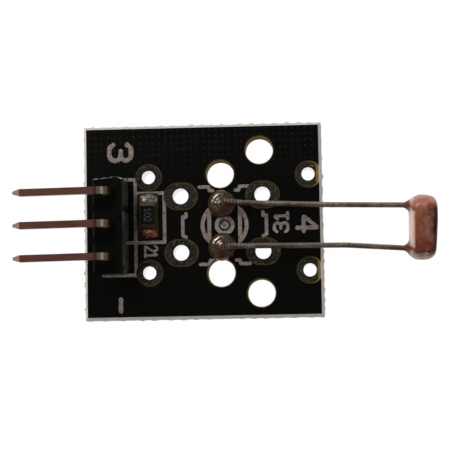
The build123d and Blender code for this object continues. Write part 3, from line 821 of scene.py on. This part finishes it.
def walk_round(half_x, half_y, corner, step):
    """Even points round a rectangle with round corners, with the outward direction at each."""
    straight = [2 * (half_y - corner), 2 * (half_x - corner)] * 2
    points, outward = [], []
    for side, length in enumerate(straight):
        turn = side * np.pi / 2
        out = np.array([np.cos(turn), np.sin(turn)])
        along = np.array([-out[1], out[0]])
        reach = half_y if side % 2 else half_x
        run = np.arange(-length / 2, length / 2, step)
        points.append(out * reach + run[:, None] * along)
        outward.append(np.tile(out, (len(run), 1)))
        bend = turn + np.linspace(0, np.pi / 2, 6)
        bent = np.stack([np.cos(bend), np.sin(bend)], -1)
        points.append(out * (reach - corner) + along * length / 2 + corner * bent)
        outward.append(bent)
    return np.concatenate(points), np.concatenate(outward)


def torn_rim(columns=20):
    """A closed band round the rim, a rounded square in section.

    With c and s the cosine and sine to the power 0.5, their sign kept, a point is -0.06 +
    (0.06 + reach) c out from the rim, or -0.06 + 0.06 c where c is negative, and its height is
    0.34 s (1 - 0.25 max(wave, 0)). The reach is 0.015 + 0.12 max(wave, 0)^0.8, times 0.55 on the
    -Y side, which tore more cleanly, plus a fine tooth that changes round the section.
    """
    route, outward = walk_round(board_half[0], board_half[1], 0.25, 0.055)
    length = np.concatenate([[0], np.cumsum(np.linalg.norm(np.diff(route, axis=0), axis=1))])
    period = length[-1] + np.linalg.norm(route[0] - route[-1])
    wave = uneven(length, period, 50, 95, 3) + 0.35 * uneven(length, period, 150, 320, 4)
    reach = (0.015 + 0.12 * np.maximum(wave, 0) ** 0.8) * (1 - 0.45 * np.clip(-outward[:, 1], 0, 1))
    angle = np.linspace(0, 2 * np.pi, columns, endpoint=False)
    cosine = np.sign(np.cos(angle)) * np.abs(np.cos(angle)) ** 0.5
    sine = np.sign(np.sin(angle)) * np.abs(np.sin(angle)) ** 0.5
    tooth = np.stack([uneven(length, period, 120, 420, 10 + column) for column in range(columns)], -1)
    push = 0.06 + reach[:, None] + 0.014 * tooth
    out = -0.06 + np.where(cosine > 0, cosine * push, 0.06 * cosine)
    flat = board_middle[:2] + route[:, None, :] + out[..., None] * outward[:, None, :]
    rise = board_middle[2] + 0.34 * sine[None, :] * (1 - 0.25 * np.maximum(wave, 0)[:, None])
    return np.concatenate([flat, rise[..., None]], -1)


fibres = (6, 5, (1, 1, 0.4))
torn = mottled("torn_fibre", (168, 160, 150), (226, 220, 212), fibres, fibres, 0.03, Roughness=0.75)
place_on_board(surface("torn_rim", torn_rim(), close_rows=True), torn, "laminate")

# %% [markdown]
# ## Printed marks
#
# The photographed board has lettering. This part carries none, so plain digits take its place,
# of the same size, weight and direction. A printed line is a thin ribbon: a centreline, a half
# width that rounds off at both ends and wavers a little, and a low domed section. Digits are
# short lines of that kind in a unit box, turned so that they read the way the old marks did.

# %% Printed ribbon


def even_walk(points, step):
    """Points every step along a polyline, its corners softened by averaging neighbours."""
    points = np.asarray(points, float)
    pieces = np.linalg.norm(np.diff(points, axis=0), axis=1)
    length = np.concatenate([[0], np.cumsum(pieces)])
    stations = np.linspace(0, length[-1], max(int(length[-1] / step), 8))
    line = np.stack([np.interp(stations, length, points[:, side]) for side in range(2)], -1)
    for _ in range(3):
        line[1:-1] = (line[:-2] + 2 * line[1:-1] + line[2:]) / 4
    return stations, line


def printed_line(points, width, base, thickness, seed):
    """A closed ribbon: centreline + half width * side, and height = thickness (1 - side^4).

    The half width follows width / 2 times the root of 1 - e^2, where e runs from 0 to 1 over the
    last half width at each end, and wavers by about a tenth. The underside is 0.004 down.
    """
    stations, line = even_walk(points, width / 7)
    for end, inner in ((0, 1), (-1, -2)):
        line[end] += (line[end] - line[inner]) / np.linalg.norm(line[end] - line[inner]) * width / 2
    stations, line = even_walk(line, width / 9)
    ahead = np.gradient(line, axis=0)
    ahead /= np.linalg.norm(ahead, axis=1)[:, None]
    beside = np.stack([-ahead[:, 1], ahead[:, 0]], -1)
    from_end = np.minimum(stations, stations[-1] - stations)
    short = np.clip(1 - from_end / (width / 2), 0, 1)
    half = width / 2 * np.sqrt(1 - short**2) * (1 + 0.16 * uneven(stations, stations[-1], 2, 14, seed))
    side = np.array([-1, -0.92, -0.7, 0, 0.7, 0.92, 1, 0])
    top = np.array([0, 1, 1, 1, 1, 1, 0, 0])
    lift = thickness * (1 - np.abs(side) ** 4) * top - 0.004 * (top == 0)
    flat = line[:, None, :] + (half[:, None] * side)[..., None] * beside[:, None, :]
    rise = base + lift[None, :] * (half[:, None] > 1e-6)
    return np.concatenate([flat, np.broadcast_to(rise, flat.shape[:2])[..., None]], -1)


# How far apart digits stand, in digit widths, and the strokes of each in a box from 0 to 1
digit_step = 1.32
digit_strokes = {
    "0": [[(0.3, 0), (0.7, 0), (1, 0.25), (1, 0.75), (0.7, 1), (0.3, 1), (0, 0.75), (0, 0.25), (0.3, 0)]],
    "1": [[(0.15, 0.76), (0.5, 1), (0.5, 0)], [(0.15, 0), (0.85, 0)]],
    "2": [[(0, 0.8), (0.25, 1), (0.75, 1), (1, 0.8), (1, 0.6), (0, 0), (1, 0)]],
    "3": [
        [(0, 0.82), (0.2, 1), (0.8, 1), (1, 0.84), (1, 0.66), (0.8, 0.52), (0.4, 0.52)],
        [(0.8, 0.52), (1, 0.38), (1, 0.16), (0.8, 0), (0.2, 0), (0, 0.18)],
    ],
    "4": [[(0.76, 0), (0.76, 1), (0, 0.32), (1, 0.32)]],
}


def join_grids(name, grids):
    """One object from several closed ribbons."""
    pieces = [surface(name, grid) for grid in grids]
    whole = pieces[0]
    with bpy.context.temp_override(active_object=whole, selected_editable_objects=pieces):
        bpy.ops.object.join()
    return whole


def printed_number(name, text, low, high, upward, width, base, thickness):
    """Digits in a box from low to high, reading along Y, with their tops towards upward X, 1 or -1."""
    spread = (high[1] - low[1] - width) / (digit_step * len(text) - (digit_step - 1))
    grids = []
    for order, digit in enumerate(text):
        for count, line in enumerate(digit_strokes[digit]):
            line = np.array(line)
            reading = (line[:, 0] + digit_step * order) * spread + width / 2
            rise = line[:, 1] * (high[0] - low[0] - width) + width / 2
            x = low[0] + rise if upward > 0 else high[0] - rise
            y = high[1] - reading if upward > 0 else low[1] + reading
            grids.append(printed_line(np.stack([x, y], -1), width, base, thickness, 7 * order + count))
    return join_grids(name, grids)


# %% Marks on the lacquer and on the resistor
ink_height = 0.02
# Each mark: name, digits, lowest and highest corner off the board's middle, way up, line width
marks = [
    ("mark_signal_side", "3", (-7.59, 4.8), (-5.48, 6.45), 1, 0.38),
    ("mark_resistor", "21", (-4.74, -2.94), (-3.57, -1.8), 1, 0.2),
    ("mark_switch", "31", (5.53, -1.1), (6.85, 0.76), -1, 0.26),
    ("mark_sensor_side", "4", (7.29, -1.15), (9.24, 0.4), 1, 0.32),
]
for mark_name, text, low, high, upward, width in marks:
    low, high = board_middle[:2] + low, board_middle[:2] + high
    mark = printed_number(mark_name, text, low, high, upward, width, mask_face, ink_height)
    place_on_board(mark, ink, "ink")

bar_ends = board_middle[:2] + [(-6.61, -6.08), (-6.61, -7.04)]
bar = surface("mark_ground_side", printed_line(bar_ends, 0.36, mask_face, ink_height, 5))
place_on_board(bar, ink, "ink")

paint = mottled("code_paint", (62, 62, 57), (94, 94, 87), (12, 3), (20, 2), 0.003, Roughness=0.6)
code_half, code_line, code_height = (0.27, 0.54), 0.042, 0.006
glaze_middle, glaze_top = middle("resistor_glaze")[:2], corners("resistor_glaze")[1][2]
code_low, code_high = glaze_middle - code_half, glaze_middle + code_half
code = printed_number("mark_resistance", "102", code_low, code_high, 1, code_line, glaze_top, code_height)
place_on_board(code, paint, "ink")

# %% [markdown]
# The header strip was snapped off a longer one, and plastic whitens where it tears. A thin
# ragged lip is left along the top of the snapped end, pale partly from that whitening and
# partly from a painted highlight on the snapped edge. It is one more ribbon, laid on the
# housing's own top edge.

# %% Torn lip of the housing
torn_plastic, shader, place = new_finish("torn_plastic", Roughness=0.6)
# Pale patches: whitened plastic and a painted highlight on the snapped edge
whitened_and_lit = ease(cloud(place, 5.0, 5.0), 0.46, 0.62)
drive(shader, "Base Color", blend(whitened_and_lit, (22, 22, 20), (146, 145, 138)))
relief(shader, cloud(place, 9.0, 4.0), 0.02)
lip_line = [
    (-8.3, 3.15), (-8.09, 3.21), (-7.77, 3.22), (-7.46, 3.28), (-7.15, 3.28),
    (-6.84, 3.33), (-6.52, 3.36), (-6.21, 3.25), (-5.98, 3.17),
]
housing_top = corners("header_housing")[1][2]
lip = surface("torn_lip", printed_line(board_middle[:2] + lip_line, 0.09, housing_top, 0.03, 81))
place_on_board(lip, torn_plastic, "header_plastic")

# %% [markdown]
# ## Soft solder
#
# The CAD's joints are clean domes. Real ones, made by hand with too much solder, slump and
# lean, keep rings where they froze, and creep a long way along the wire. Each joint here is a
# profile turned about its hole: from the cone under the board up through the hole to a knob
# over the wire's bend. Its middle wanders as it rises and its radius follows a wavy line.

# %% Joints of the sensor leads


def solder_joint(hole, foot, knob, seed, columns=96):
    """Rows follow a profile of radius and height over the land, about a middle that wanders.

    The middle goes from the hole to hole + foot at the land and to hole + knob at 1 mm. The
    radius is the profile's times 1 + 0.04 wave. The height has a fine wave of 0.006, and on the
    shoulder rings of 0.003 sin(2 pi r / 0.13), with r the radius plus 0.03 sin(2 angle).
    """
    under = land_underside - land_face
    profile = [
        (0, under - 0.88), (0.28, under - 0.9), (0.42, under - 0.78), (0.5, under - 0.55),
        (0.66, under - 0.25), (0.94, under - 0.02), (0.44, under), (0.44, 0), (0.96, 0),
        (1.03, 0.1), (1.03, 0.38), (0.98, 0.58), (0.9, 0.71), (0.81, 0.78), (0.7, 0.805),
        (0.5, 0.82), (0.4, 0.85), (0.37, 0.99), (0.36, 1.1), (0.29, 1.21), (0.13, 1.26), (0, 1.265),
    ]
    line = even_walk(profile, 0.04)[1]
    angle = np.linspace(0, 2 * np.pi, columns, endpoint=False)
    height = line[:, 1:] + 0 * angle
    outside = np.where((height > 0.03) | (height < under - 0.03), 1, 0)
    radius = line[:, :1] * (1 + 0.04 * outside * uneven(angle, 2 * np.pi, 2, 5, seed))
    rings = 0.003 * np.sin(2 * np.pi * (radius + 0.03 * np.sin(2 * angle + seed)) / 0.13)
    rings = rings * (height > 0.5) * (radius > 0.42)
    grain = 0.006 * uneven(angle, 2 * np.pi, 5, 16, seed + 1) * (radius > 0.2) * (height > 0.2)
    middles = [np.interp(line[:, 1], [-0.2, 0, 1], [0, foot[side], knob[side]]) for side in (0, 1)]
    x = hole[0] + middles[0][:, None] + radius * np.cos(angle)
    y = hole[1] + middles[1][:, None] + radius * np.sin(angle)
    return np.stack([x, y, land_face + height + rings + grain], -1)


def straight_run(lead, hole):
    """Two points on the lead's axis after its bend: the middles of two rings of its mesh."""
    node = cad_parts[lead]
    points = np.empty(3 * len(node.data.vertices))
    node.data.vertices.foreach_get("co", points)
    turn = np.array(node.matrix_world)
    points = (points.reshape(-1, 3) @ turn[:3, :3].T + turn[:3, 3]) / MM
    rings = []
    for least in (hole[0] + 0.52, hole[0] + 3):
        beyond = points[points[:, 0] > least]
        rings.append(beyond[beyond[:, 0] < beyond[:, 0].min() + 0.06].mean(axis=0))
    return rings


def tinned_sleeve(start, ahead, length, seed, columns=40):
    """A tube round the lead that gets thinner with the share s of its length.

    Its radius is the lead's + 0.004 - 0.02 s^8 + 0.07 (1 - s)^1.5 + 0.018 root(1 - s) ripple,
    and the ripple is a sine every 0.21 mm. The far end dips into the lead, and both ends close
    to a pole.
    """
    share = np.linspace(0, 1, 110)[:, None]
    angle = np.linspace(0, 2 * np.pi, columns, endpoint=False)
    ripple = np.sin(2 * np.pi * share * length / 0.21 + seed + 0.8 * np.sin(angle))
    radius = wire_radius + 0.004 - 0.02 * share**8 + 0.07 * (1 - share) ** 1.5
    radius = radius + 0.018 * np.sqrt(1 - share) * ripple
    radius[[0, -1]] = 0
    across = np.cross([0, 0, 1.0], ahead)
    across /= np.linalg.norm(across)
    upward = np.cross(ahead, across)
    sides = np.cos(angle)[:, None] * across + np.sin(angle)[:, None] * upward
    return start + (share * length)[..., None] * ahead + radius[..., None] * sides


# Each joint: number, foot and knob off the hole, length of the sleeve
joints = [
    ("1", (0.15, 0.03), (0.01, -0.12), 1.5),
    ("2", (0.07, -0.13), (0.08, 0.04), 1.8),
]
for number, foot, knob, length in joints:
    hole = middle(f"sensor_pad_{number}")[:2]
    seed = 30 + 7 * int(number)
    joint = surface(f"solder_joint_{number}", solder_joint(hole, foot, knob, seed))
    place_on_board(joint, solder, "solder", f"sensor_solder_{number}")
    first, second = straight_run(f"sensor_lead_{number}", hole)
    ahead = (second - first) / np.linalg.norm(second - first)
    sleeve = surface(f"tinned_sleeve_{number}", tinned_sleeve(first - 0.35 * ahead, ahead, length, seed))
    place_on_board(sleeve, wire, "solder")
    print("lead", number, "heads", ahead.round(3))

# %% [markdown]
# The chip resistor was soldered by hand as well. A lump sits on each of its lands and climbs
# over the end cap. Its foot is a rounded square, and its height falls off towards the foot's edge.

# %% Joints of the chip resistor


def solder_lump(centre, half, seed, columns=72):
    """A closed lump: a flat underside, and a top of height h (1 - s^2.6)^0.6 at share s of the foot.

    The foot is the superellipse 1 / (cos^4 + sin^4)^(1/4) with waves of a tenth, and the height
    has dimples that fade to the edge.
    """
    angle = np.linspace(0, 2 * np.pi, columns, endpoint=False)
    waves = 1 + 0.1 * uneven(angle, 2 * np.pi, 2, 6, seed)
    foot = (np.cos(angle) ** 4 + np.sin(angle) ** 4) ** -0.25 * waves
    share = np.linspace(0, 1, 26)[:, None]
    top = half[2] * (1 - share**2.6) ** 0.6
    dimple = 0.06 * np.sin(3 * angle + 5 * share + seed) * share * (1 - share)
    share = np.concatenate([share, share[::-1]])
    height = np.concatenate([0 * top + 0 * angle, (top + dimple)[::-1]])
    radius = share * foot
    x = centre[0] + half[0] * radius * np.cos(angle)
    y = centre[1] + half[1] * radius * np.sin(angle)
    return np.stack([x, y, centre[2] + height], -1)


# Each lump: number, side of the chip, how far its middle is past the cap, and its half sizes
lumps = [
    ("1", 1, 0.2, (0.66, 0.42, 0.54)),
    ("2", -1, 0.34, (0.66, 0.45, 0.4)),
]
for number, side, past_cap, half in lumps:
    cap_low, cap_high = corners(f"resistor_cap_{number}")
    cap_end = cap_high[1] if side > 0 else cap_low[1]
    centre = ((cap_low[0] + cap_high[0]) / 2, cap_end + side * past_cap, land_face - 0.005)
    lump = surface(f"resistor_joint_{number}", solder_lump(centre, half, 50 + side))
    place_on_board(lump, chip_solder, "solder", f"resistor_solder_{number}")

# %% [markdown]
# Soldering leaves flux behind. It has run along both sides of the resistor and dried to a thin
# amber line, which is the same ribbon as a printed line in another finish.

# %% Dried flux
dried = mottled("dried_flux", (62, 46, 22), (104, 86, 48), (5, 4), (6, 3), 0.01, Roughness=0.25, IOR=1.5)
flux_runs = [[(-3.65, 2.0), (-3.68, 0.6), (-3.65, -0.95)], [(-5.04, 2.0), (-5.05, 0.7), (-5.04, -1.2)]]
flux_width, flux_height = 0.1, 0.02
runs = [
    printed_line(board_middle[:2] + run, flux_width, mask_face, flux_height, 60 + count)
    for count, run in enumerate(flux_runs)
]
place_on_board(join_grids("flux_residue", runs), dried, "resin")
